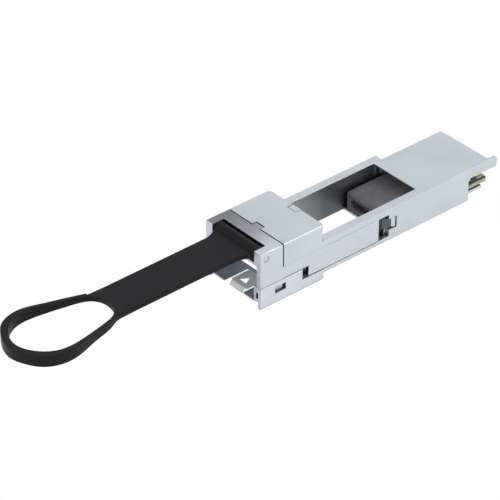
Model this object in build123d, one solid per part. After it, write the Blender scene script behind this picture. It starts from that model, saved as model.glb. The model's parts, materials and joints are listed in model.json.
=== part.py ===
"""Port adapter module: a small-form-factor port carried in a four-lane plug-in module body.

Frame: X is the width, Y is the length (+Y is the direction of insertion), Z is up.
The origin is the middle of the port's mouth, on the port's floor. Units are millimetres.
"""
import os

from build123d import *

# ---------------------------------------------------------------- driving dimensions
BODY_HALF = 9.175        # half of the 18.35 mm standard body width
BODY_TOP = 8.5           # standard body height
BAY_HALF = 6.99          # half width of the bay that takes the small module
SEAM_Z = 1.1             # level where the lower shell ends and the upper shell starts
WALL_END = 63.1          # end of the side walls and of the underside
WALL_ROUND = 0.9         # rounding of their rear corners
HOOD_START = 47.94
HOOD_END = 69.4
HOOD_BEVEL_START = 67.2
HOOD_BEVEL_DROP = 0.25
EAR_END = 71.35
EAR_Z = 6.0
HOOD_SKIN = 1.0
HOOD_LIP = 0.3           # thickness of the hood's front edge
HOOD_FRONT = 0.9         # thickness of the hood's front wall
HOOD_INNER_HALF = 8.4
KEY_START = 50.5         # keying step along the hood's -X edge
KEY_X = -5.8
KEY_Z = 6.7
KEY_EAR_END = 71.0
KEY_SKIN = 0.85
KEY_WALL = 1.2           # thickness of the step's front wall
WALL_TOP = 5.4           # level up to which the side walls' rear corners are rounded
EAR_ROUND = 0.4

BEYOND = 10.0            # further out than any side face, for cuts
CUT = 1.0                # how far a cut runs past the face that it opens
JOIN = 0.2               # how far joined blocks run into each other
GAP = 0.05               # clearance between parts that only lie against each other
RIM_ROUND = 0.35         # rounding of the nose's upper long edges

BAY_END = 38.7           # where the lower shell's floor begins
BODY_RIM = 0.25          # rounding of the body's lower long edges
TRAY_STEP_Y = 48.54
TRAY_HALF = 7.9
TRAY_WALL = 1.2
TRAY_FLOOR = 0.5
LIP_END = 67.6
LIP_TOP = 1.8

NOSE_HALF = 9.25
NOSE_TOP = 12.93
NOSE_END = 18.5
SKIRT_Z = -1.6
SKIRT_INNER = 8.35
FRAME_END = 12.45        # end of the tall part of the nose frame
NOSE_WALL = 7.8          # outer face of the port's inner walls
ROOF_Z = (8.75, 9.35)    # underside and top of the port's roof
ROOF_START = 0.6
PORT_STEP_Y = 8.2        # where the port's side walls become thicker
WINDOW_Y = (12.3, 16.0)  # pocket behind the gap between the nose frame and the arm's step
RIB_X = 7.95             # upright rib in that pocket
RIB_Y = (14.1, 14.65)
RIB_Z = 1.9
PLATE_T = 0.9            # thickness of the plates beside the port's mouth
FRAME_TOP = 3.85
FRAME_LOW_TOP = 1.05     # top of the frame's low rear stretch
FRAME_ROUND = 0.6
FRAME_RIM = 0.3
FRAME_REAR = 18.3
CROSS_START = 16.4       # the frame's crosspiece under the bay's front
PLATE_HOLE_X = 7.63
PLATE_HOLE_Z = (0.8, 2.4)
CLIP_WINDOW_Y = (4.2, 7.3)
CLIP_WINDOW_Z = (0.98, 2.65)
SHEET = 0.3              # stamped liner thickness
FLOOR_END = 7.85

COVER_START = 6.73
COVER_SKIN = 0.8
COVER_SIDE_Z = 7.05
COVER_INNER = 8.4
COVER_ROUND = 1.1
COVER_TAB = 1.3          # length of the square corner that meets the body's side wall
COVER_REAR = 0.85        # thickness of the cover's rear wall
TONGUE_END = 8.0
TONGUE_SLOT_DEPTH = 2.5
STUD_Y = 17.0
STUD_HALF = 1.3          # half width of the stud and of the tongue that fill the cover's notches
STUD_GAP = 0.17

ARM_INNER = 8.45
ARM_OUTER = 9.175
ARM_Z = (1.25, 6.95)     # deep stretch of the arm
ARM_NOSE_Z = 3.95        # underside of the shallow stretch beside the nose
ARM_STEP_Y = 14.0
ARM_END = 34.8
YOKE_BACK = 6.43
YOKE_Z = 9.55            # underside of the yoke's bridge
CHEEK_INNER = 7.9        # inner faces of the yoke's two cheeks
STEP_RELIEF = (1.2, 0.25)    # length and skin of the relief behind the arm's step
TONGUE_Z = (10.2, 12.0)
TONGUE_WIDE_END = 7.8
CROSSBAR_HALF = 6.2
CROSSBAR_Z = (9.6, 11.9)
PIN_FIT = 0.005
NOTCH_BACK = 3.28
NOTCH_HALF = 7.05
SLIDE_TRAVEL = 1.4

RECESS_X = 8.35          # shell face behind the arm
POCKET_X = 7.3           # shell face behind the latch finger
POCKET_END = 37.3        # where the deep part of the latch pocket ends
RECESS_TOP = 7.02
RECESS_START = 12.0
POCKET_Z = (1.15, 6.95)
LEDGE_X = 8.15           # face of the ledge below the finger
LEDGE_END = 37.95
FINGER_SLOT_Z = (2.75, 5.75)
FINGER_Z = (2.9, 5.6)
FINGER_START = 33.1
FINGER_TIP = 40.15
FINGER_GAP = 0.12        # clearance past the finger's tip

PIN_Y = 1.77
PIN_Z = 11.14
PIN_R = 0.75
PIN_CHAMFER = 0.12
HUB_R = 1.7
HUB_SEAT_R = 1.84        # concave seat in the yoke behind the hub
HUB_HALF = 6.85
HUB_BORE_R = 0.8

STRAP_HALF = 5.05
STRAP_TOP = 0.62         # top face of the strap above the pin axis
STRAP_BOTTOM = -0.38
STRAP_DROOP = 0.33       # degrees that the strap hangs below level at rest
LOOP_RAMP = (-29.5, -55.5)   # the loop thickens between these lengths
LOOP_TOP_RISE = 1.05     # how far the loop's end stands above the strap's top face
LOOP_BOTTOM_DROP = 0.67

BOARD_Z = (2.3, 3.3)
BOARD_HALF = 8.2
BOARD_NECK_HALF = 6.8
BOARD_START = 43.4
BOARD_END = 69.4
BOARD_WIDE_Y = 49.04      # where the board gets its full width
BOARD_CHAMFER = 0.4
PAD_PITCH = 0.8
PAD_T = 0.05
PAD_COUNT = 19
PAD_HALF = 0.28
PAD_START = 67.5
LONG_PAD_START = 67.1
PAD_REAR_MARGIN = 0.25

SOCKET_HALF = 5.9
SOCKET_Y = (38.86, 52.6)
SOCKET_Z = (0.55, 5.15)
SOCKET_SLOT_HALF = 4.55
SOCKET_SLOT_END = 43.2
SOCKET_SLOT_Z = (2.05, 3.55)
SOCKET_CHAMFER = 0.35
GROOVE_HALF = 0.22       # grooves that the contact strips lie in
GROOVE_Z = (1.3, 4.25)
BOARD_FIT = 0.02
SOCKET_WAYS = 10
CONTACT_W = 0.34

CHIP_HALF = 2.2
CHIP_Y = (54.0, 57.0)
CHIP_T = 1.0
CHIP_STANDOFF = 0.12
CHIP_CHAMFER = 0.15
LEAD_T = 0.13
LEAD_PITCH = 0.6
CAPACITOR_SIZE = (1.6, 0.8, 0.8)     # length, width and height
RESISTOR_SIZE = (1.0, 0.5, 0.35)

SCREW_X = 6.5
SCREW_YS = (54.6, 60.6)
SCREW_R = 0.75
SCREW_HEAD_R = 1.45
SCREW_TOP = 6.6
BOSS_R = 1.5
SCREW_FIT = 0.01         # clearance round the threads
SCREW_PASS = 0.1         # clearance round the shank where it only passes through
SCREW_HOLE_END = 0.1     # how much deeper than the screw its hole is
SINK_DEPTH = 0.62
HEAD_DEPTH = 0.56
HEX_R = 0.52
HEX_DEPTH = 0.4

SPRING_X = 4.5
SPRING_Z = 10.75
SPRING_R = 0.94
SPRING_WIRE_R = 0.14
SPRING_SEAT_Y = 8.3
SEAT_HALF = 1.25
SEAT_T = 1.0
SPRING_COILS = 8
SPRING_FIT = 0.03        # clearance at each end of a spring
SPIGOT_R = 0.6           # pegs on the crossbar that centre the springs
SPIGOT_LENGTH = 2.4
CROSSBAR_Y = (14.2, 15.2)

LEAF_HALF = 2.6
LEAF_Y = (1.45, 6.85)
LEAF_SLOT_HALF = 3.2
LEAF_GAP = 0.12          # clearance at the leaf's root
LEAF_ROUND = 0.45
LEAF_LIP_HALF = 2.1
CLIP_X = 8.15
CLIP_Y = (3.6, 7.7)
CLIP_TOP = 2.7
CLIP_TAB_Y = (4.3, 6.3)
CLIP_TAB_Z = (1.8, 2.6)


# ---------------------------------------------------------------- small helpers
def block(x0, x1, y0, y1, z0, z1):
    """Box between two corners."""
    box = Box(x1 - x0, y1 - y0, z1 - z0, align=(Align.MIN, Align.MIN, Align.MIN))
    return Pos(x0, y0, z0) * box


def both(x0, x1, y0, y1, z0, z1):
    """The same box on the +X and the -X side."""
    return block(x0, x1, y0, y1, z0, z1) + block(-x1, -x0, y0, y1, z0, z1)


def both_sides(shape):
    """A shape and its mirror image across the middle plane."""
    return shape + mirror(shape, about=Plane.YZ)


def plan_prism(points, z0, z1):
    """Polygon in the XY plane, extruded from z0 to z1."""
    face = make_face(Polyline(*points, close=True))
    return Pos(0, 0, z0) * extrude(face, z1 - z0)


def side_prism(points, x0, x1):
    """Polygon of (y, z) points, extruded along X from x0 to x1."""
    face = make_face(Polyline(*[(0, y, z) for y, z in points], close=True))
    return Pos(x0, 0, 0) * extrude(face, x1 - x0, dir=(1, 0, 0))


def rod_x(radius, x0, x1, y, z):
    """Cylinder along X."""
    return Pos((x0 + x1) / 2, y, z) * Rot(0, 90, 0) * Cylinder(radius, x1 - x0)


def rod_y(radius, x, y0, y1, z):
    """Cylinder along Y."""
    return Pos(x, (y0 + y1) / 2, z) * Rot(90, 0, 0) * Cylinder(radius, y1 - y0)


def rod_z(radius, x, y, z0, z1):
    """Cylinder along Z."""
    return Pos(x, y, (z0 + z1) / 2) * Cylinder(radius, z1 - z0)


def corner_waste(x, y, radius, z0, z1):
    """What rounding takes off an upright corner whose outer sides face +X and +Y."""
    square = block(x - radius, x + CUT, y - radius, y + CUT, z0, z1)
    return square - rod_z(radius, x - radius, y - radius, z0 - CUT, z1 + CUT)


def screw_places():
    """Centres of the four closing screws."""
    return [(x, y) for y in SCREW_YS for x in (-SCREW_X, SCREW_X)]


# ---------------------------------------------------------------- housing
def upper_shell():
    # side walls of the open bay
    shell = both(BAY_HALF, BODY_HALF, NOSE_END, HOOD_START, SEAM_Z, BODY_TOP)
    # hood: a box with a stepped cavity, open at the rear and below
    shell += block(-BODY_HALF, BODY_HALF, HOOD_START, WALL_END, SEAM_Z, BODY_TOP)
    shell += block(-BODY_HALF, BODY_HALF, WALL_END, HOOD_END, BODY_TOP - HOOD_SKIN, BODY_TOP)
    shell += both(HOOD_INNER_HALF, BODY_HALF, WALL_END, HOOD_END, EAR_Z, BODY_TOP)
    shell += block(HOOD_INNER_HALF, BODY_HALF, HOOD_END, EAR_END, EAR_Z, BODY_TOP)
    shell += block(-BODY_HALF, -HOOD_INNER_HALF, WALL_END, KEY_EAR_END, WALL_TOP, KEY_Z)
    shell += block(-BODY_HALF, KEY_X, WALL_END, KEY_EAR_END, KEY_Z - KEY_SKIN, KEY_Z)
    shell += block(-BODY_HALF, KEY_X + KEY_SKIN, KEY_START, HOOD_END, KEY_Z - KEY_SKIN, BODY_TOP)
    cavity = block(-HOOD_INNER_HALF, HOOD_INNER_HALF, HOOD_START + HOOD_FRONT, WALL_END + CUT,
                   SEAM_Z - CUT, BODY_TOP - HOOD_SKIN)
    cavity -= block(-BODY_HALF, KEY_X + KEY_SKIN, KEY_START - KEY_WALL, WALL_END + CUT,
                    KEY_Z - KEY_SKIN, BODY_TOP)
    shell -= cavity
    # mouth under the hood's thinned front edge that the board and its socket pass through
    mouth = [(HOOD_START - CUT, SEAM_Z - CUT), (HOOD_START + CUT, SEAM_Z - CUT),
             (HOOD_START + CUT, BODY_TOP - HOOD_SKIN), (HOOD_START, BODY_TOP - HOOD_LIP),
             (HOOD_START - CUT, BODY_TOP - HOOD_LIP)]
    shell -= side_prism(mouth, -BAY_HALF, BAY_HALF)
    # keying step
    shell -= block(-BEYOND, KEY_X, KEY_START, EAR_END + CUT, KEY_Z, BODY_TOP + CUT)
    # rounded corners of the ear, and a lead-in on the hood's rear edge
    ear_corners = shell.edges().filter_by(Axis.X).group_by(Axis.Y)[-1]
    shell = fillet(ear_corners, EAR_ROUND)
    bevel_end = HOOD_END + JOIN
    lead_in = side_prism([(HOOD_BEVEL_START, BODY_TOP), (bevel_end, BODY_TOP - HOOD_BEVEL_DROP),
                          (bevel_end, BODY_TOP + CUT), (HOOD_BEVEL_START, BODY_TOP + CUT)],
                         KEY_X - CUT, HOOD_INNER_HALF)
    shell -= lead_in
    shell -= both_sides(corner_waste(BODY_HALF, WALL_END, WALL_ROUND, 0, WALL_TOP))
    # screw bosses hang from the hood's ceiling
    for x, y in screw_places():
        boss = rod_z(BOSS_R, x, y, BOARD_Z[1], BODY_TOP - HOOD_SKIN)
        boss &= block(-HOOD_INNER_HALF, HOOD_INNER_HALF, 0, EAR_END, 0, BODY_TOP)
        if x < 0:
            boss -= block(-BODY_HALF, KEY_X, KEY_START, EAR_END, KEY_Z, BODY_TOP)
        shell += boss
        shell -= rod_z(SCREW_R + SCREW_FIT, x, y, BOARD_Z[1] - CUT, SCREW_TOP + SCREW_HOLE_END)
    # recess for the slider's arms, and the deeper latch pockets at its end
    shell -= both(RECESS_X, BEYOND, RECESS_START, ARM_END, SEAM_Z - CUT, RECESS_TOP)
    shell -= both(POCKET_X, BEYOND, ARM_END - GAP, POCKET_END, *POCKET_Z)
    shell -= both(LEDGE_X, BEYOND, POCKET_END - GAP, LEDGE_END, *POCKET_Z)
    slot_start = FINGER_START - SLIDE_TRAVEL - JOIN
    shell -= both(POCKET_X, BEYOND, slot_start, FINGER_TIP + FINGER_GAP, *FINGER_SLOT_Z)
    # port walls and roof inside the nose
    shell += both(BAY_HALF, NOSE_WALL, PLATE_T, PORT_STEP_Y, 0, ROOF_Z[1])
    shell += both(BAY_HALF, RECESS_X, PORT_STEP_Y, NOSE_END, 0, ROOF_Z[1])
    # pocket seen through the gap between the nose frame and the arm's step, with an upright rib in it
    shell -= both(POCKET_X, RECESS_X + JOIN, *WINDOW_Y, SEAM_Z, ARM_NOSE_Z)
    shell += both(POCKET_X - JOIN, RIB_X, *RIB_Y, RIB_Z, ARM_NOSE_Z + JOIN)
    shell += both(RECESS_X, COVER_INNER, PORT_STEP_Y, NOSE_END, COVER_SIDE_Z, ROOF_Z[1])
    shell += block(-BAY_HALF, BAY_HALF, ROOF_START, NOSE_END, ROOF_Z[0], ROOF_Z[1])
    # seats that the return springs push against
    shell += both(SPRING_X - SEAT_HALF, SPRING_X + SEAT_HALF, SPRING_SEAT_Y - SEAT_T, SPRING_SEAT_Y,
                  ROOF_Z[1], NOSE_TOP - COVER_SKIN - GAP)
    # locating stud that fills the notch in the cover's rear edge
    shell += block(-STUD_HALF, STUD_HALF, STUD_Y, NOSE_END, ROOF_Z[1], NOSE_TOP - GAP)
    return shell


def nose_cover():
    cover = block(-NOSE_HALF, NOSE_HALF, COVER_START, NOSE_END, COVER_SIDE_Z, NOSE_TOP)
    rear_uprights = cover.edges().filter_by(Axis.Z).group_by(Axis.Y)[-1]
    cover = fillet(rear_uprights, COVER_ROUND)
    # the rounding stops where the body's side walls meet the cover
    cover += both(COVER_INNER, NOSE_HALF, NOSE_END - COVER_TAB, NOSE_END, COVER_SIDE_Z, BODY_TOP)
    cover -= block(-COVER_INNER, COVER_INNER, COVER_START - CUT, NOSE_END - COVER_REAR,
                   COVER_SIDE_Z - CUT, NOSE_TOP - COVER_SKIN)
    cover -= block(-COVER_INNER, COVER_INNER, COVER_START, NOSE_END + CUT, COVER_SIDE_Z - CUT, ROOF_Z[1])
    # slot for the slider's tongue at the front, notch for the stud at the rear
    slot_half = STUD_HALF + STUD_GAP
    cover -= block(-slot_half, slot_half, COVER_START - CUT, TONGUE_END, NOSE_TOP - TONGUE_SLOT_DEPTH,
                   NOSE_TOP + CUT)
    cover -= block(-slot_half, slot_half, STUD_Y - STUD_GAP, NOSE_END + CUT, ROOF_Z[1], NOSE_TOP + CUT)
    rims = cover.edges().filter_by(Axis.Y).group_by(Axis.Z)[-1].sort_by(Axis.X)
    cover = fillet([rims[0], rims[-1]], RIM_ROUND)
    return cover


def nose_frame():
    frame = both(SKIRT_INNER, NOSE_HALF, 0, FRAME_END, SKIRT_Z, FRAME_TOP)
    frame -= both_sides(corner_waste(NOSE_HALF, FRAME_END, FRAME_ROUND, FRAME_LOW_TOP, FRAME_TOP + CUT))
    frame += both(SKIRT_INNER, NOSE_HALF, FRAME_END - CUT, FRAME_REAR, SKIRT_Z, FRAME_LOW_TOP)
    frame += block(-SKIRT_INNER, SKIRT_INNER, CROSS_START, FRAME_REAR, SKIRT_Z, -SHEET - GAP)
    # front plates beside the port's mouth, each with a small square hole
    frame += both(BAY_HALF, SKIRT_INNER, 0, PLATE_T, 0, FRAME_TOP)
    frame -= both(PLATE_HOLE_X, SKIRT_INNER, -CUT, PLATE_T + CUT, *PLATE_HOLE_Z)
    # windows that the liner's clips snap into
    frame -= both(SKIRT_INNER - CUT, BEYOND, *CLIP_WINDOW_Y, *CLIP_WINDOW_Z)
    bottom_rims = frame.edges().filter_by(Axis.Y).group_by(Axis.Z)[0].sort_by(Axis.X)
    frame = fillet([bottom_rims[0], bottom_rims[-1]], FRAME_RIM)
    return frame


def lower_shell():
    shell = both(BAY_HALF, BODY_HALF, FRAME_REAR, BAY_END, 0, SEAM_Z)
    shell -= block(-RECESS_X, RECESS_X, FRAME_REAR - CUT, NOSE_END, -CUT, SEAM_Z + CUT)
    shell += block(-BODY_HALF, BODY_HALF, BAY_END, WALL_END, 0, SEAM_Z)
    # tray under the board
    shell -= block(-BAY_HALF, BAY_HALF, BAY_END - CUT, TRAY_STEP_Y + JOIN, TRAY_FLOOR, SEAM_Z + CUT)
    shell -= block(-TRAY_HALF, TRAY_HALF, TRAY_STEP_Y, WALL_END - TRAY_WALL, TRAY_FLOOR, SEAM_Z + CUT)
    # lip that runs on under the board's contact edge
    shell += block(-BOARD_HALF, BOARD_HALF, WALL_END - TRAY_WALL, LIP_END, SEAM_Z, LIP_TOP)
    for x, y in screw_places():
        boss = rod_z(BOSS_R, x, y, TRAY_FLOOR, BOARD_Z[0])
        shell += boss
        shell -= rod_z(SCREW_R + SCREW_PASS, x, y, -CUT, BOARD_Z[0] + CUT)
        sink = Pos(x, y, SINK_DEPTH / 2) * Cone(SCREW_HEAD_R + GAP, SCREW_R + SCREW_PASS, SINK_DEPTH)
        shell -= sink
    bottom_rims = shell.edges().filter_by(Axis.Y).group_by(Axis.Z)[0].sort_by(Axis.X)
    shell = fillet([bottom_rims[0], bottom_rims[-1]], BODY_RIM)
    return shell - both_sides(corner_waste(BODY_HALF, WALL_END, WALL_ROUND, -CUT, SEAM_Z))


def port_liner():
    liner = block(-NOSE_WALL, NOSE_WALL, PLATE_T, FLOOR_END, -SHEET, 0)
    liner += block(-BAY_HALF, BAY_HALF, GAP, PLATE_T, -SHEET, 0)
    liner -= block(-LEAF_SLOT_HALF, LEAF_SLOT_HALF, -CUT, LEAF_Y[1] + LEAF_GAP, -CUT, CUT)
    # clips beside the floor that snap into the nose frame's windows
    clip = block(NOSE_WALL, CLIP_X, *CLIP_Y, -SHEET, CLIP_TOP)
    clip += block(CLIP_X - GAP, NOSE_HALF - GAP, *CLIP_TAB_Y, *CLIP_TAB_Z)
    return liner + both_sides(clip)


def latch_leaf():
    leaf = block(-LEAF_HALF, LEAF_HALF, LEAF_Y[0], LEAF_Y[1], -SHEET, 0)
    leaf = fillet(leaf.edges().filter_by(Axis.Z).group_by(Axis.Y)[0], LEAF_ROUND)
    # lip bent down at the front
    leaf += side_prism([(LEAF_Y[0], 0), (LEAF_Y[0] + GAP, -SHEET), (0.72, -1.12), (0.5, -0.92)],
                       -LEAF_LIP_HALF, LEAF_LIP_HALF)
    # latch hole for the small module's boss
    hole = plan_prism([(-1.6, 2.75), (1.1, 2.75), (-0.1, 4.95)], -CUT, CUT)
    return leaf - hole


def closing_screws():
    screws = []
    for x, y in screw_places():
        shank = rod_z(SCREW_R, x, y, HEAD_DEPTH - GAP, SCREW_TOP)
        head = Pos(x, y, SINK_DEPTH / 2) * Cone(SCREW_HEAD_R, SCREW_R, HEAD_DEPTH)
        drive = Pos(x, y, 0) * extrude(RegularPolygon(HEX_R, 6), HEX_DEPTH)
        screws.append(shank + head - drive)
    return Compound(children=screws)


# ---------------------------------------------------------------- latch slider
def slider_finger():
    """Tongue at the end of the +X arm, with a tip that flares outwards."""
    outline = [(8.5, FINGER_START), (7.5, 34.6), (7.5, 37.15), (8.0, 37.75), (8.0, 39.2),
               (8.65, FINGER_TIP), (9.05, FINGER_TIP - 0.2), (8.45, 38.9), (8.45, 37.55), (7.95, 36.95),
               (7.95, 34.85), (8.6, 34.0)]
    return plan_prism(outline, FINGER_Z[0], FINGER_Z[1])


def latch_slider():
    # yoke across the top of the nose
    slider = block(-NOSE_HALF, NOSE_HALF, NOTCH_BACK, YOKE_BACK, YOKE_Z, NOSE_TOP)
    slider += both(NOTCH_HALF, NOSE_HALF, 0, NOTCH_BACK, YOKE_Z, NOSE_TOP)
    slider += both(CHEEK_INNER, NOSE_HALF, 0, YOKE_BACK, ARM_NOSE_Z, YOKE_Z + GAP)
    rims = slider.edges().filter_by(Axis.Y).group_by(Axis.Z)[-1].sort_by(Axis.X)
    slider = fillet([rims[0], rims[-1]], RIM_ROUND)
    slider -= rod_x(HUB_SEAT_R, -NOTCH_HALF, NOTCH_HALF, PIN_Y, PIN_Z)
    # arms that run back along the body
    arm = block(ARM_INNER, ARM_OUTER, YOKE_BACK - CUT, ARM_STEP_Y + CUT, ARM_NOSE_Z, ARM_Z[1])
    arm += block(ARM_INNER, ARM_OUTER, ARM_STEP_Y, ARM_END, *ARM_Z)
    relief_length, relief_skin = STEP_RELIEF
    arm -= block(ARM_INNER - CUT, ARM_OUTER - relief_skin, ARM_STEP_Y - CUT, ARM_STEP_Y + relief_length,
                 0, ARM_NOSE_Z)
    arm += slider_finger()
    slider += both_sides(arm)
    # tongue and crossbar that carry the springs, under the cover
    bar_start, bar_end = CROSSBAR_Y
    slider += block(-STUD_HALF, STUD_HALF, YOKE_BACK - JOIN, bar_start + JOIN, *TONGUE_Z)
    slider += block(-STUD_HALF, STUD_HALF, YOKE_BACK - JOIN, TONGUE_WIDE_END, TONGUE_Z[0], NOSE_TOP - 2 * GAP)
    slider += block(-CROSSBAR_HALF, CROSSBAR_HALF, bar_start, bar_end, *CROSSBAR_Z)
    for x in (-SPRING_X, SPRING_X):
        slider += rod_y(SPIGOT_R, x, bar_start - SPIGOT_LENGTH, bar_start + JOIN, SPRING_Z)
    slider -= rod_x(PIN_R + PIN_FIT, -BEYOND, BEYOND, PIN_Y, PIN_Z)
    return slider


def strap_pin():
    pin = rod_x(PIN_R, -NOSE_HALF + GAP, NOSE_HALF - GAP, PIN_Y, PIN_Z)
    return chamfer(pin.edges().filter_by(GeomType.CIRCLE), PIN_CHAMFER)


def return_spring(x):
    end_room = SPRING_WIRE_R + SPRING_FIT
    length = CROSSBAR_Y[0] - SPRING_SEAT_Y - 2 * end_room
    helix = Helix(length / SPRING_COILS, length, SPRING_R)
    section = Plane(origin=helix @ 0, z_dir=helix % 0) * Circle(SPRING_WIRE_R)
    wire = sweep(section, path=helix, is_frenet=True)
    return Pos(x, SPRING_SEAT_Y + end_room, SPRING_Z) * Rot(-90, 0, 0) * wire


# ---------------------------------------------------------------- pull strap
LOOP_OUTER = [(5.25, -36.4), (6.3, -38.7), (7.1, -41.6), (7.95, -45.1), (9.35, -51.6), (6.95, -57.8),
              (4.9, -59.25)]
LOOP_INNER = [(4.7, -37.2), (5.7, -40.0), (7.5, -47.2), (7.55, -53.6), (3.65, -58.1)]
LOOP_END_Y = -60.8
HOLE_START_Y = -34.6
HOLE_END_Y = -59.2
NECK_END_Y = -33.5       # where the strap's straight edges end
ROOT_Y = -4.4            # where the strap widens towards its hub
ROOT_BEND = (5.5, -1.75)
ROOT_END_Y = 0.25
RIDGE = [(2.4, -33.95), (3.9, -34.9), (4.85, -36.2), (5.6, -38.7), (5.5, -40.0)]   # rim at the hole's front
RIDGE_START_Y = -33.55
RIDGE_HEIGHT = 0.25


def loop_outline():
    """Outer outline of the finger loop, from one edge of the strap round to the other."""
    left = [(-x, y) for x, y in reversed(LOOP_OUTER)]
    points = [(STRAP_HALF, NECK_END_Y), *LOOP_OUTER, (0, LOOP_END_Y), *left, (-STRAP_HALF, NECK_END_Y)]
    return Spline(*points, tangents=[(0, -1), (0, 1)])


def hole_outline():
    """Closed outline of the finger hole."""
    left = [(-x, y) for x, y in reversed(LOOP_INNER)]
    return Spline((0, HOLE_START_Y), *LOOP_INNER, (0, HOLE_END_Y), *left, periodic=True)


def ridge_outline():
    """Outer outline of the raised rim, closed by a straight line across the hole."""
    left = [(-x, y) for x, y in RIDGE]
    front = Spline(*reversed(left), (0, RIDGE_START_Y), *RIDGE)
    return [front, Line(RIDGE[-1], left[-1])]


def strap_side():
    """Side view of the strap: flat, then thickening along the loop."""
    top = PIN_Z + STRAP_TOP
    bottom = PIN_Z + STRAP_BOTTOM
    ramp_start, ramp_end = LOOP_RAMP
    beyond = LOOP_END_Y - CUT
    back = (0, -1, 0)
    upper = Spline((0, ramp_start, top), (0, ramp_end, top + LOOP_TOP_RISE), tangents=[back, back])
    lower = Spline((0, ramp_start, bottom), (0, ramp_end, bottom - LOOP_BOTTOM_DROP), tangents=[back, back])
    rest = Polyline((0, ramp_start, top), (0, PIN_Y, top), (0, PIN_Y, bottom), (0, ramp_start, bottom))
    end = Polyline((0, ramp_end, top + LOOP_TOP_RISE), (0, beyond, top + LOOP_TOP_RISE),
                   (0, beyond, bottom - LOOP_BOTTOM_DROP), (0, ramp_end, bottom - LOOP_BOTTOM_DROP))
    return Pos(-BEYOND, 0, 0) * extrude(make_face([upper, end, lower, rest]), 2 * BEYOND, dir=(1, 0, 0))


def pull_strap():
    neck_right = Line((STRAP_HALF, NECK_END_Y), (STRAP_HALF, ROOT_Y))
    neck_left = Line((-STRAP_HALF, NECK_END_Y), (-STRAP_HALF, ROOT_Y))
    root_right = ThreePointArc((STRAP_HALF, ROOT_Y), ROOT_BEND, (HUB_HALF, ROOT_END_Y))
    root_left = ThreePointArc((-STRAP_HALF, ROOT_Y), (-ROOT_BEND[0], ROOT_BEND[1]), (-HUB_HALF, ROOT_END_Y))
    back = Polyline((HUB_HALF, ROOT_END_Y), (HUB_HALF, PIN_Y), (-HUB_HALF, PIN_Y), (-HUB_HALF, ROOT_END_Y))
    outline = make_face([loop_outline(), neck_right, neck_left, root_right, root_left, back])
    hole = make_face(hole_outline())
    plan = Pos(0, 0, PIN_Z - BEYOND / 2) * extrude(outline - hole, BEYOND)
    strap = plan & strap_side()
    strap += Pos(0, 0, PIN_Z) * extrude(make_face(ridge_outline()) - hole, STRAP_TOP + RIDGE_HEIGHT)
    strap += rod_x(HUB_R, -HUB_HALF, HUB_HALF, PIN_Y, PIN_Z)
    strap -= rod_x(HUB_BORE_R, -HUB_HALF - CUT, HUB_HALF + CUT, PIN_Y, PIN_Z)
    droop = Pos(0, PIN_Y, PIN_Z) * Rot(STRAP_DROOP, 0, 0) * Pos(0, -PIN_Y, -PIN_Z)
    return droop * strap


# ---------------------------------------------------------------- electronics
def circuit_board():
    board = block(-BOARD_NECK_HALF, BOARD_NECK_HALF, BOARD_START, BOARD_WIDE_Y + JOIN, BOARD_Z[0], BOARD_Z[1])
    board += block(-BOARD_HALF, BOARD_HALF, BOARD_WIDE_Y, BOARD_END, BOARD_Z[0], BOARD_Z[1])
    rear_corners = board.edges().filter_by(Axis.Z).group_by(Axis.Y)[-1]
    board = chamfer(rear_corners, BOARD_CHAMFER)
    for x, y in screw_places():
        board -= rod_z(SCREW_R + SCREW_PASS, x, y, BOARD_Z[0] - CUT, BOARD_Z[1] + CUT)
    return board


def edge_pads(z0):
    """Nineteen contact pads, every third one longer, on one face of the board's rear edge."""
    pads = []
    for i in range(PAD_COUNT):
        x = (i - (PAD_COUNT - 1) / 2) * PAD_PITCH
        start = LONG_PAD_START if i % 3 == 0 else PAD_START
        pads.append(block(x - PAD_HALF, x + PAD_HALF, start, BOARD_END - PAD_REAR_MARGIN, z0, z0 + PAD_T))
    return Compound(children=pads)


def sfp_socket():
    body = block(-SOCKET_HALF, SOCKET_HALF, SOCKET_Y[0], SOCKET_Y[1], SOCKET_Z[0], SOCKET_Z[1])
    top_front = body.edges().filter_by(Axis.X).group_by(Axis.Y)[0].sort_by(Axis.Z)[-1]
    body = chamfer(top_front, SOCKET_CHAMFER)
    front = SOCKET_Y[0] - CUT
    rear = SOCKET_Y[1] + CUT
    body -= block(-SOCKET_SLOT_HALF, SOCKET_SLOT_HALF, front, SOCKET_SLOT_END, *SOCKET_SLOT_Z)
    body -= block(-BOARD_NECK_HALF - GAP, BOARD_NECK_HALF + GAP, SOCKET_SLOT_END, rear,
                  BOARD_Z[0] - BOARD_FIT, BOARD_Z[1] + BOARD_FIT)
    for i in range(SOCKET_WAYS):
        x = (i - (SOCKET_WAYS - 1) / 2) * PAD_PITCH
        body -= block(x - GROOVE_HALF, x + GROOVE_HALF, front, rear, BOARD_Z[1] - GAP, GROOVE_Z[1])
        body -= block(x - GROOVE_HALF, x + GROOVE_HALF, front, rear, GROOVE_Z[0], BOARD_Z[0] + GAP)
    return body


def socket_contacts(flip):
    """Ten bent strips: a sprung nose in the slot, a tail on the board."""
    middle = (BOARD_Z[0] + BOARD_Z[1]) / 2
    profile = [(39.7, 1.18), (41.0, 0.5), (42.2, 1.0), (44.6, 1.15), (45.4, 0.54), (47.3, 0.54),
               (47.3, 0.74), (45.5, 0.74), (44.7, 1.38), (42.1, 1.22), (41.0, 0.74), (39.8, 1.38)]
    points = [(y, middle + flip * height) for y, height in profile]
    strips = []
    for i in range(SOCKET_WAYS):
        x = (i - (SOCKET_WAYS - 1) / 2) * PAD_PITCH
        strips.append(side_prism(points, x - CONTACT_W / 2, x + CONTACT_W / 2))
    return Compound(children=strips)


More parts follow.
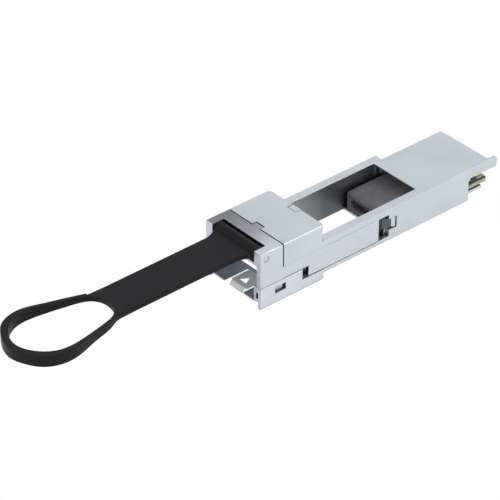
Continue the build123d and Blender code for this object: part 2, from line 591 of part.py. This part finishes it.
def memory_chip():
    z0 = BOARD_Z[1] + CHIP_STANDOFF
    chip = block(-CHIP_HALF, CHIP_HALF, *CHIP_Y, z0, z0 + CHIP_T)
    return chamfer(chip.edges().group_by(Axis.Z)[-1], CHIP_CHAMFER)


def memory_leads():
    """Four bent legs on each side of the memory chip."""
    shoulder = CHIP_HALF + 0.45
    foot = CHIP_HALF + 1.0
    profile = [(CHIP_HALF, 0.55), (shoulder, 0.55), (shoulder, 0), (foot, 0), (foot, LEAD_T),
               (shoulder + LEAD_T, LEAD_T), (shoulder + LEAD_T, 0.55 + LEAD_T), (CHIP_HALF, 0.55 + LEAD_T)]
    leads = []
    for side in (-1, 1):
        for i in range(4):
            y = CHIP_Y[0] + LEAD_PITCH * (i + 1) - LEAD_T
            outline = [(side * x, y, BOARD_Z[1] + z) for x, z in profile]
            leads.append(extrude(make_face(Polyline(*outline, close=True)), 2 * LEAD_T, dir=(0, 1, 0)))
    return Compound(children=leads)


def chip_row(places, length, width, height):
    """Small two-ended surface-mount bodies standing on the board's upper face."""
    bodies = []
    for x, y in places:
        body = block(x - width / 2, x + width / 2, y - length / 2, y + length / 2,
                     BOARD_Z[1], BOARD_Z[1] + height)
        bodies.append(body)
    return Compound(children=bodies)


CAPACITOR_PLACES = [(x, 64.4) for x in (-5.2, -3.6, 3.6, 5.2)] + [(x, 59.0) for x in (-2.4, -0.8, 0.8, 2.4)]
RESISTOR_PLACES = [(x, 61.4) for x in (-1.6, 0, 1.6)] + [(4.4, 57.6), (-4.4, 57.6)]


def build():
    """Every node of the module, by name."""
    nodes = {
        "upper_shell": upper_shell(),
        "lower_shell": lower_shell(),
        "nose_cover": nose_cover(),
        "nose_frame": nose_frame(),
        "port_liner": port_liner(),
        "latch_leaf": latch_leaf(),
        "closing_screws": closing_screws(),
        "latch_slider": latch_slider(),
        "strap_pin": strap_pin(),
        "pull_strap": pull_strap(),
        "return_spring_left": return_spring(-SPRING_X),
        "return_spring_right": return_spring(SPRING_X),
        "circuit_board": circuit_board(),
        "edge_pads_top": edge_pads(BOARD_Z[1]),
        "edge_pads_bottom": edge_pads(BOARD_Z[0] - PAD_T),
        "sfp_socket": sfp_socket(),
        "socket_contacts_upper": socket_contacts(1),
        "socket_contacts_lower": socket_contacts(-1),
        "memory_chip": memory_chip(),
        "memory_leads": memory_leads(),
        "capacitors": chip_row(CAPACITOR_PLACES, *CAPACITOR_SIZE),
        "resistors": chip_row(RESISTOR_PLACES, *RESISTOR_SIZE),
    }
    os.makedirs("parts", exist_ok=True)
    for name, shape in nodes.items():
        export_step(shape, f"parts/{name}.step")
    return nodes


build()
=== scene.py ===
import json
import math

import bpy
from mathutils import Matrix, Vector


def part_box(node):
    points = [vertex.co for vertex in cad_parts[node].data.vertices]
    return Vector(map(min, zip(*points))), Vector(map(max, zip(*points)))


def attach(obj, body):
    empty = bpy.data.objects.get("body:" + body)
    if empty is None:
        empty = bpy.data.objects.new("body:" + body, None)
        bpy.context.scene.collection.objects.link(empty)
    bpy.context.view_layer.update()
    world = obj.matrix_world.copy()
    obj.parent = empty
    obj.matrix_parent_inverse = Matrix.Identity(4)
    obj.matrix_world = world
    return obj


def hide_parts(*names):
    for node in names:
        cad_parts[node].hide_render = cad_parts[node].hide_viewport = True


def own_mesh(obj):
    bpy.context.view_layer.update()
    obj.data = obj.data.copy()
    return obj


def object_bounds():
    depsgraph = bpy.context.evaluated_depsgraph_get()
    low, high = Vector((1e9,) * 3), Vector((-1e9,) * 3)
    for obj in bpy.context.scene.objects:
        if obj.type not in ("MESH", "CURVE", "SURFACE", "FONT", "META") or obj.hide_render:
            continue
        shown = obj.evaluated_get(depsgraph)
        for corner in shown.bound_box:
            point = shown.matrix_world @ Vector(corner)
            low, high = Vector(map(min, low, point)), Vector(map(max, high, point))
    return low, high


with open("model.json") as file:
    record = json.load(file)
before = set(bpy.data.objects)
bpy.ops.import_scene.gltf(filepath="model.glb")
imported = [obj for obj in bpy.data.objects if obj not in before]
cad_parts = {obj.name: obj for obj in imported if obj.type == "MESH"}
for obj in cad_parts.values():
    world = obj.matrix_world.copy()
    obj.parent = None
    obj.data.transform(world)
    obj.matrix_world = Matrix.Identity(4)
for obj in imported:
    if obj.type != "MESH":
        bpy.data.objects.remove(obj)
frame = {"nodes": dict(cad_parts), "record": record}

cad_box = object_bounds()
nodes = frame["nodes"]
slot_of = {part["node"]: part["material_slot"] for part in frame["record"]["subparts"]}
MM = 0.001


# ---------------------------------------------------------------- camera
AZIMUTH = math.radians(49.77)
ELEVATION = math.radians(34.50)
ROLL = math.radians(0.233)
CAMERA_PLACE = Vector((416.453, -347.469, 382.345)) * MM
LENS_MM = 216.93
SENSOR_MM = 36
CLIP_START = 0.01
CLIP_END = 20


def make_camera():
    right = Vector((math.cos(AZIMUTH), math.sin(AZIMUTH), 0))
    back = Vector((math.sin(AZIMUTH) * math.cos(ELEVATION), -math.cos(AZIMUTH) * math.cos(ELEVATION),
                   math.sin(ELEVATION)))
    up = back.cross(right)
    rolled_right = right * math.cos(ROLL) - up * math.sin(ROLL)
    rolled_up = right * math.sin(ROLL) + up * math.cos(ROLL)
    data = bpy.data.cameras.new("camera")
    data.lens = LENS_MM
    data.sensor_width = SENSOR_MM
    data.clip_start = CLIP_START
    data.clip_end = CLIP_END
    camera = bpy.data.objects.new("camera", data)
    turn = Matrix((rolled_right, rolled_up, back)).transposed().to_4x4()
    camera.matrix_world = Matrix.Translation(CAMERA_PLACE) @ turn
    bpy.context.collection.objects.link(camera)
    bpy.context.scene.camera = camera


make_camera()


# ---------------------------------------------------------------- shader node helpers
NOISE_LOW = 0.3          # a noise texture's values lie mostly between these two
NOISE_HIGH = 0.7


def link(tree, source, output, target, socket):
    tree.links.new(source.outputs[output], target.inputs[socket])


def object_point(tree):
    return tree.nodes.new("ShaderNodeTexCoord")


def split_xyz(tree, source, output):
    node = tree.nodes.new("ShaderNodeSeparateXYZ")
    link(tree, source, output, node, 0)
    return node


def arithmetic(tree, operation, source, output, other=None, other_output=0):
    """Math node on one value, or on two."""
    node = tree.nodes.new("ShaderNodeMath")
    node.operation = operation
    link(tree, source, output, node, 0)
    if other:
        link(tree, other, other_output, node, 1)
    return node


def map_range(tree, source, output, from_range, to_range=(0, 1)):
    node = tree.nodes.new("ShaderNodeMapRange")
    link(tree, source, output, node, "Value")
    node.inputs["From Min"].default_value, node.inputs["From Max"].default_value = from_range
    node.inputs["To Min"].default_value, node.inputs["To Max"].default_value = to_range
    return node


def spread(tree, source, low, high):
    """Maps a noise's middle range onto low to high."""
    return map_range(tree, source, "Fac", (NOISE_LOW, NOISE_HIGH), (low, high))


def noise(tree, scale, detail=4.0, stretch=(1, 1, 1)):
    """Noise in object coordinates, in features per metre. stretch lengthens the grain along an axis."""
    mapping = tree.nodes.new("ShaderNodeMapping")
    mapping.inputs["Scale"].default_value = [1 / s for s in stretch]
    link(tree, object_point(tree), "Object", mapping, "Vector")
    texture = tree.nodes.new("ShaderNodeTexNoise")
    texture.inputs["Scale"].default_value = scale
    texture.inputs["Detail"].default_value = detail
    link(tree, mapping, "Vector", texture, "Vector")
    return texture


def ramp(tree, source, output, stops):
    """Colour ramp over a 0 to 1 value. stops is a list of (position, colour)."""
    node = tree.nodes.new("ShaderNodeValToRGB")
    link(tree, source, output, node, "Fac")
    elements = node.color_ramp.elements
    while len(elements) < len(stops):
        elements.new(0.5)
    for element, (position, color) in zip(elements, stops):
        element.position = position
        element.color = (*color, 1)
    return node


def mix_colors(tree, source, output, first, second):
    """Blend of two colour nodes, or of a colour and a node, by a 0 to 1 value."""
    node = tree.nodes.new("ShaderNodeMix")
    node.data_type = "RGBA"
    link(tree, source, output, node, "Factor")
    for socket, color in (("A", first), ("B", second)):
        if isinstance(color, tuple):
            node.inputs[socket].default_value = (*color, 1)
        else:
            link(tree, color, "Color", node, socket)
    return node


def multiply_base(tree, shader, value, output):
    """Multiplies the shader's base colour by a value or a colour."""
    product = tree.nodes.new("ShaderNodeMix")
    product.data_type = "RGBA"
    product.blend_type = "MULTIPLY"
    product.inputs["Factor"].default_value = 1.0
    color_input = shader.inputs["Base Color"]
    before = color_input.links[0].from_socket
    tree.links.new(before, product.inputs["A"])
    link(tree, value, output, product, "B")
    tree.links.new(product.outputs["Result"], color_input)


# ---------------------------------------------------------------- stage and light
FLOOR_REACH = 1.5
FLOOR_GAP = 0.3 * MM
FLOOR_TONE = 0.80
FLOOR_ROUGHNESS = 0.95
FLOOR_SPECULAR = 0.1
FLOOR_GLOW = 0.08
WHITE = (1, 1, 1)
SKY_COLOR = (0.68, 0.70, 0.72)
SKY_START = 0.12         # how far above the horizon the sky becomes grey, where straight up is 1
# name, place, target, size and watts
LIGHTS = [
    ("key", (0.15, -0.9, 0.55), (0, 0, 0), 0.5, 2),
    ("side", (0.9, -0.25, 0.5), (0, 0, 0), 0.3, 0.6),
    ("glint", (0.6, 0.55, 0.65), (0, 0.03, 0), 0.15, 1.2),
]


def make_floor():
    """A pale floor that only the object sees: it lights the undersides, while the view behind stays white."""
    floor_z = cad_box[0][2] - FLOOR_GAP
    mesh = bpy.data.meshes.new("floor")
    corners = [(-FLOOR_REACH, -FLOOR_REACH, floor_z), (FLOOR_REACH, -FLOOR_REACH, floor_z),
               (FLOOR_REACH, FLOOR_REACH, floor_z), (-FLOOR_REACH, FLOOR_REACH, floor_z)]
    mesh.from_pydata(corners, [], [(0, 1, 2, 3)])
    floor = bpy.data.objects.new("floor", mesh)
    bpy.context.collection.objects.link(floor)
    material = bpy.data.materials.new("floor")
    material.use_nodes = True
    shader = material.node_tree.nodes["Principled BSDF"]
    shader.inputs["Base Color"].default_value = (FLOOR_TONE, FLOOR_TONE, FLOOR_TONE, 1)
    shader.inputs["Roughness"].default_value = FLOOR_ROUGHNESS
    shader.inputs["Specular IOR Level"].default_value = FLOOR_SPECULAR
    shader.inputs["Emission Color"].default_value = (*WHITE, 1)
    shader.inputs["Emission Strength"].default_value = FLOOR_GLOW
    mesh.materials.append(material)
    floor.visible_camera = False


def make_world():
    """White all round below the horizon, and a soft grey sky that the metal's upper faces mirror."""
    world = bpy.data.worlds.new("studio")
    world.use_nodes = True
    tree = world.node_tree
    background = tree.nodes["Background"]
    direction = split_xyz(tree, object_point(tree), "Generated")
    whiteness = map_range(tree, direction, "Z", (0, SKY_START), (1, 0))
    tint = ramp(tree, whiteness, "Result", [(0.0, SKY_COLOR), (1.0, WHITE)])
    link(tree, tint, "Color", background, "Color")
    background.inputs["Strength"].default_value = 1.0
    bpy.context.scene.world = world
    bpy.context.scene.view_settings.view_transform = "Standard"


def area_light(name, place, target, size, watts):
    data = bpy.data.lights.new(name, "AREA")
    data.shape = "DISK"
    data.size = size
    data.energy = watts
    light = bpy.data.objects.new(name, data)
    light.location = place
    aim = Vector(target) - Vector(place)
    light.rotation_euler = aim.to_track_quat("-Z", "Y").to_euler()
    bpy.context.collection.objects.link(light)


# ---------------------------------------------------------------- parts of a finish
EDGE_GLINT = 0.13 * MM   # radius over which the shading of a sharp edge is rounded
GLINT_SAMPLES = 6
CREVICE_SAMPLES = 8


def new_material(name, color, rough, metallic=0.0):
    material = bpy.data.materials.new(name)
    material.use_nodes = True
    shader = material.node_tree.nodes["Principled BSDF"]
    shader.inputs["Base Color"].default_value = (*color, 1)
    shader.inputs["Roughness"].default_value = rough
    shader.inputs["Metallic"].default_value = metallic
    return material, material.node_tree, shader


def bump(tree, shader, source, depth_mm):
    """Fine relief from a noise, over a normal that rounds the sharp edges."""
    node = tree.nodes.new("ShaderNodeBump")
    node.inputs["Distance"].default_value = depth_mm * MM
    link(tree, source, "Fac", node, "Height")
    rounded = tree.nodes.new("ShaderNodeBevel")
    rounded.samples = GLINT_SAMPLES
    rounded.inputs["Radius"].default_value = EDGE_GLINT
    link(tree, rounded, "Normal", node, "Normal")
    link(tree, node, "Normal", shader, "Normal")


def uneven_gloss(tree, shader, texture, low, high):
    """Roughness that wanders between two values with a noise."""
    link(tree, spread(tree, texture, low, high), "Result", shader, "Roughness")


def tone(color, factor):
    return tuple(min(1.0, c * factor) for c in color)


def mottled(tree, shader, texture, color, low, high):
    """Colour that wanders between two tones of itself with a noise."""
    node = ramp(tree, texture, "Fac", [(0.35, tone(color, low)), (0.65, tone(color, high))])
    link(tree, node, "Color", shader, "Base Color")


def paint_crevice_shade(tree, shader, reach_mm, depth):
    """Painted shade: multiplies the base colour by how open the surface is, so that corners look darker than
    they are lit.
    """
    openness = tree.nodes.new("ShaderNodeAmbientOcclusion")
    openness.samples = CREVICE_SAMPLES
    openness.inputs["Distance"].default_value = reach_mm * MM
    corner_shade_tone = (depth, depth, depth * 1.08)
    curve = ramp(tree, openness, "AO", [(0.3, corner_shade_tone), (0.8, WHITE)])
    multiply_base(tree, shader, curve, "Color")


def inside(tree, source, output, low_mm, high_mm):
    """1 where a coordinate lies between two places, else 0."""
    node = arithmetic(tree, "COMPARE", source, output)
    node.inputs[1].default_value = (low_mm + high_mm) / 2 * MM
    node.inputs[2].default_value = (high_mm - low_mm) / 2 * MM
    return node


def shade_zone(tree, shader, zone, factor, fade=None):
    """Darkens the base colour inside a box that is mirrored across the middle plane.

    It is a painted stand-in for the shade in a recess, and stays the same from every side.
    With fade, it comes in gradually between two places along Y.
    """
    x_range, y_range, z_range = zone
    point = split_xyz(tree, object_point(tree), "Object")
    side = arithmetic(tree, "ABSOLUTE", point, "X")
    in_x = inside(tree, side, 0, *x_range)
    in_y = inside(tree, point, "Y", *y_range)
    in_z = inside(tree, point, "Z", *z_range)
    in_plan = arithmetic(tree, "MULTIPLY", in_x, 0, in_y)
    amount = arithmetic(tree, "MULTIPLY", in_plan, 0, in_z)
    if fade:
        growth = map_range(tree, point, "Y", (fade[0] * MM, fade[1] * MM))
        amount = arithmetic(tree, "MULTIPLY", amount, 0, growth, "Result")
    shade = map_range(tree, amount, 0, (0, 1), (1, factor))
    multiply_base(tree, shader, shade, "Result")


# ---------------------------------------------------------------- materials
# Places whose base colour is painted darker as painted shade: ranges of |x|, y and z in millimetres.
LATCH_POCKET = ((7.0, 8.12), (34.7, 37.4), (1.12, 6.99))
HOOD_INSIDE = ((0.0, 5.7), (48.0, 64.0), (1.0, 7.45))
BAY_WALLS = ((6.9, 7.05), (18.6, 48.0), (0.0, 8.45))
BAY_FADE = (20.0, 33.0)
FINGER_ROOT = ((7.0, 8.47), (33.0, 36.9), (2.8, 5.7))
FINGER_END = ((7.0, 8.6), (36.9, 39.1), (2.8, 5.7))
BRIDGE_HALF = 8.5 * MM   # the painted shade on the slider's upper faces darkens from +X to -X between these


def cast_nickel(name, color):
    """Satin plating over a blasted casting: fine peened grain, faint cloudy tone, painted shade in recesses."""
    material, tree, shader = new_material(name, color, 0.4, 1.0)
    mottled(tree, shader, noise(tree, 90, 3), color, 0.96, 1.03)
    grain = noise(tree, 5200, 2)
    uneven_gloss(tree, shader, grain, 0.36, 0.48)
    bump(tree, shader, grain, 0.006)
    paint_crevice_shade(tree, shader, 1.6, 0.12)
    shade_zone(tree, shader, LATCH_POCKET, 0.5)
    shade_zone(tree, shader, HOOD_INSIDE, 0.3)
    shade_zone(tree, shader, BAY_WALLS, 0.4, BAY_FADE)
    return material


def slider_nickel():
    """Brighter plating on the slider, brushed across its bridge.

    Its upper faces are painted darker towards -X, in place of what they would mirror there.
    """
    color = (0.80, 0.84, 0.89)
    material, tree, shader = new_material("slider_nickel", color, 0.33, 1.0)
    brush = noise(tree, 1500, 2, (14, 1, 14))
    point = split_xyz(tree, object_point(tree), "Object")
    across = map_range(tree, point, "X", (-BRIDGE_HALF, BRIDGE_HALF))
    shade = ramp(tree, across, "Result", [(0.0, (0.28, 0.295, 0.315)), (0.55, (0.44, 0.46, 0.49)),
                                         (0.93, (0.78, 0.82, 0.87)), (1.0, color)])
    facing = split_xyz(tree, tree.nodes.new("ShaderNodeNewGeometry"), "True Normal")
    is_top = map_range(tree, facing, "Z", (0.6, 0.9))
    mix = mix_colors(tree, is_top, "Result", color, shade)
    link(tree, mix, "Result", shader, "Base Color")
    uneven_gloss(tree, shader, brush, 0.28, 0.42)
    bump(tree, shader, brush, 0.003)
    # painted shade in the slider's corners and on its finger in the latch pocket
    paint_crevice_shade(tree, shader, 1.2, 0.2)
    shade_zone(tree, shader, FINGER_ROOT, 0.10)
    shade_zone(tree, shader, FINGER_END, 0.18)
    return material


def bright_sheet(name, color, low, high, metallic=1.0):
    """Rolled sheet with its grain along the strip."""
    material, tree, shader = new_material(name, color, high, metallic)
    grain = noise(tree, 2600, 2, (1, 18, 1))
    mottled(tree, shader, grain, color, 0.96, 1.03)
    uneven_gloss(tree, shader, grain, low, high)
    bump(tree, shader, grain, 0.0006)
    return material


def turned_steel(name, color, low, high):
    """Drawn or turned steel with fine rings round its length."""
    material, tree, shader = new_material(name, color, high, 1.0)
    rings = noise(tree, 3000, 2, (1, 1, 6))
    mottled(tree, shader, rings, color, 0.9, 1.08)
    uneven_gloss(tree, shader, rings, low, high)
    bump(tree, shader, rings, 0.002)
    return material


def strap_rubber():
    """Moulded black elastomer: fine matt grain with faint flow marks and a soft sheen."""
    color = (0.0045, 0.0045, 0.005)
    material, tree, shader = new_material("strap_rubber", color, 0.5)
    shader.inputs["Specular IOR Level"].default_value = 0.22
    mottled(tree, shader, noise(tree, 140, 3, (1, 3, 1)), color, 0.85, 1.2)
    grain = noise(tree, 4200, 3)
    uneven_gloss(tree, shader, grain, 0.34, 0.48)
    bump(tree, shader, grain, 0.008)
    return material


def board_laminate():
    """Green solder mask over copper on the faces, bare cream glass laminate on the cut edges."""
    mask = (0.012, 0.06, 0.03)
    material, tree, shader = new_material("board_laminate", mask, 0.35)
    facing = split_xyz(tree, tree.nodes.new("ShaderNodeNewGeometry"), "True Normal")
    upright = arithmetic(tree, "ABSOLUTE", facing, "Z")
    copper = noise(tree, 900, 1, (1, 8, 1))
    face = ramp(tree, copper, "Fac", [(0.47, tone(mask, 0.8)), (0.53, tone(mask, 1.5))])
    fibres = noise(tree, 3500, 2, (8, 8, 1))
    edge = ramp(tree, fibres, "Fac", [(0.35, (0.42, 0.36, 0.25)), (0.65, (0.60, 0.53, 0.40))])
    mix = mix_colors(tree, upright, 0, edge, face)
    link(tree, mix, "Result", shader, "Base Color")
    bump(tree, shader, copper, 0.02)
    return material


def pad_gold():
    """Hard gold over copper, faintly wiped along the direction of insertion."""
    color = (0.62, 0.44, 0.19)
    material, tree, shader = new_material("pad_gold", color, 0.35, 1.0)
    wipe = noise(tree, 2500, 2, (1, 10, 1))
    mottled(tree, shader, wipe, color, 0.8, 1.1)
    uneven_gloss(tree, shader, wipe, 0.25, 0.45)
    return material


def moulded_plastic(name, color, rough):
    """Spark-eroded mould texture with faint cloudy gloss."""
    material, tree, shader = new_material(name, color, rough)
    mottled(tree, shader, noise(tree, 300, 2), color, 0.85, 1.15)
    grain = noise(tree, 6000, 2)
    uneven_gloss(tree, shader, grain, rough - 0.08, rough + 0.08)
    bump(tree, shader, grain, 0.008)
    return material


def plated(name, color, rough):
    """Small plated contacts and leads."""
    material, tree, shader = new_material(name, color, rough, 1.0)
    wipe = noise(tree, 2200, 2, (1, 6, 1))
    mottled(tree, shader, wipe, color, 0.85, 1.1)
    uneven_gloss(tree, shader, wipe, rough - 0.06, rough + 0.08)
    return material


MATERIALS = {
    "cast_nickel": cast_nickel("cast_nickel", (0.78, 0.835, 0.87)),
    "slider_nickel": slider_nickel(),
    "stamped_steel": bright_sheet("stamped_steel", (0.56, 0.57, 0.60), 0.26, 0.34),
    "screw_steel": turned_steel("screw_steel", (0.42, 0.43, 0.45), 0.25, 0.4),
    "pin_steel": turned_steel("pin_steel", (0.70, 0.71, 0.73), 0.15, 0.28),
    "spring_steel": turned_steel("spring_steel", (0.48, 0.49, 0.51), 0.2, 0.35),
    "strap_rubber": strap_rubber(),
    "board_laminate": board_laminate(),
    "pad_gold": pad_gold(),
    "socket_plastic": moulded_plastic("socket_plastic", (0.13, 0.132, 0.138), 0.5),
    "chip_plastic": moulded_plastic("chip_plastic", (0.02, 0.02, 0.022), 0.5),
    "contact_alloy": plated("contact_alloy", (0.30, 0.29, 0.27), 0.35),
    "tin": plated("tin", (0.72, 0.72, 0.71), 0.3),
    "capacitor_ceramic": moulded_plastic("capacitor_ceramic", (0.36, 0.25, 0.16), 0.45),
}

# Nodes given a brighter copy of their slot's finish, as painted light. The leaf is only part metallic, so that
# it stays pale.
PAINTED_LIGHT_MATERIAL = {
    "nose_frame": cast_nickel("nickel_painted_light", (0.86, 0.89, 0.94)),
    "latch_leaf": bright_sheet("leaf_steel_painted_light", (0.95, 0.96, 0.98), 0.45, 0.55, 0.4),
}


# ---------------------------------------------------------------- rounded edges
# width of the rounding along each node's edges, in millimetres
EDGE_ROUND = {
    "upper_shell": 0.09,
    "lower_shell": 0.09,
    "nose_cover": 0.12,
    "nose_frame": 0.09,
    "latch_slider": 0.10,
    "port_liner": 0.04,
    "latch_leaf": 0.04,
    "pull_strap": 0.25,
    "sfp_socket": 0.05,
    "circuit_board": 0.03,
    "closing_screws": 0.04,
    "memory_chip": 0.04,
}
WELD_DISTANCE = 0.002 * MM
FLAT_ANGLE = math.radians(0.5)
SHARP_ANGLE = math.radians(28)
ROUND_SEGMENTS = 2
FLAT_FACE_WEIGHT = 100


def round_edges(node, width_mm):
    """Rounds the sharp edges of a CAD node with modifiers only, so its own mesh stays as it was packed."""
    for polygon in node.data.polygons:
        polygon.use_smooth = True
    weld = node.modifiers.new("weld", "WELD")
    weld.merge_threshold = WELD_DISTANCE
    merge = node.modifiers.new("merge_flat", "DECIMATE")
    merge.decimate_type = "DISSOLVE"
    merge.angle_limit = FLAT_ANGLE
    bevel = node.modifiers.new("bevel", "BEVEL")
    bevel.width = width_mm * MM
    bevel.segments = ROUND_SEGMENTS
    bevel.limit_method = "ANGLE"
    bevel.angle_limit = SHARP_ANGLE
    bevel.use_clamp_overlap = True
    flatten = node.modifiers.new("flat_faces", "WEIGHTED_NORMAL")
    flatten.weight = FLAT_FACE_WEIGHT


def finish_nodes():
    """Gives every CAD node its material, and its rounded edges where it has any."""
    for name, node in nodes.items():
        material = PAINTED_LIGHT_MATERIAL.get(name, MATERIALS[slot_of[name]])
        if not node.material_slots:
            node.data.materials.append(None)
        for place in node.material_slots:
            place.material = material
        if name in EDGE_ROUND:
            round_edges(node, EDGE_ROUND[name])


# ---------------------------------------------------------------- return springs
COILS = 8
CLOSED_COILS = 1.0       # turns at each end that lie against the next turn
CLOSED_PITCH = 2.1       # distance between those turns, in wire radii
STEPS_PER_COIL = 28
WIRE_SIDES = 10
WIRE_R = 0.14 * MM


def coil_height(turn, length):
    """Distance along the spring after some turns, with closed turns at both ends."""
    closed_pitch = CLOSED_PITCH * WIRE_R
    open_pitch = (length - 2 * CLOSED_COILS * closed_pitch) / (COILS - 2 * CLOSED_COILS)
    last_open = COILS - CLOSED_COILS
    first = min(turn, CLOSED_COILS) * closed_pitch
    middle = max(0.0, min(turn, last_open) - CLOSED_COILS) * open_pitch
    last = max(0.0, turn - last_open) * closed_pitch
    return first + middle + last


def coil_mesh(name, start, radius, length):
    """Mesh of a coiled wire that runs along +Y from start."""
    vertices = []
    faces = []
    steps = COILS * STEPS_PER_COIL
    for i in range(steps + 1):
        turn = i / STEPS_PER_COIL
        angle = 2 * math.pi * turn
        outward = Vector((math.cos(angle), 0, math.sin(angle)))
        centre = start + Vector((0, coil_height(turn, length), 0)) + outward * radius
        for k in range(WIRE_SIDES):
            around = 2 * math.pi * k / WIRE_SIDES
            offset = outward * math.cos(around) + Vector((0, math.sin(around), 0))
            vertices.append(centre + offset * WIRE_R)
    for i in range(steps):
        near = i * WIRE_SIDES
        far = near + WIRE_SIDES
        for k in range(WIRE_SIDES):
            beside = (k + 1) % WIRE_SIDES
            faces.append((near + k, far + k, far + beside, near + beside))
    faces.append(tuple(range(WIRE_SIDES)))
    faces.append(tuple(steps * WIRE_SIDES + k for k in reversed(range(WIRE_SIDES))))
    mesh = bpy.data.meshes.new(name)
    mesh.from_pydata(vertices, [], faces)
    for polygon in mesh.polygons:
        polygon.use_smooth = True
    return mesh


def return_spring(name):
    """Coil spring with closed turns at both ends, in place of the CAD node's evenly wound one."""
    low, high = (Vector(corner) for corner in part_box(name))
    middle = (low + high) / 2
    radius = (high.x - low.x) / 2 - WIRE_R
    length = high.y - low.y
    start = Vector((middle.x, low.y + WIRE_R, middle.z))
    mesh = coil_mesh("coil_" + name, start, radius, length - 2 * WIRE_R)
    mesh.materials.append(MATERIALS[slot_of[name]])
    spring = bpy.data.objects.new("coil_" + name, mesh)
    bpy.context.collection.objects.link(spring)
    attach(spring, "housing")
    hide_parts(name)
    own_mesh(spring)


# ---------------------------------------------------------------- scene
make_floor()
make_world()
for light in LIGHTS:
    area_light(*light)
finish_nodes()
return_spring("return_spring_left")
return_spring("return_spring_right")
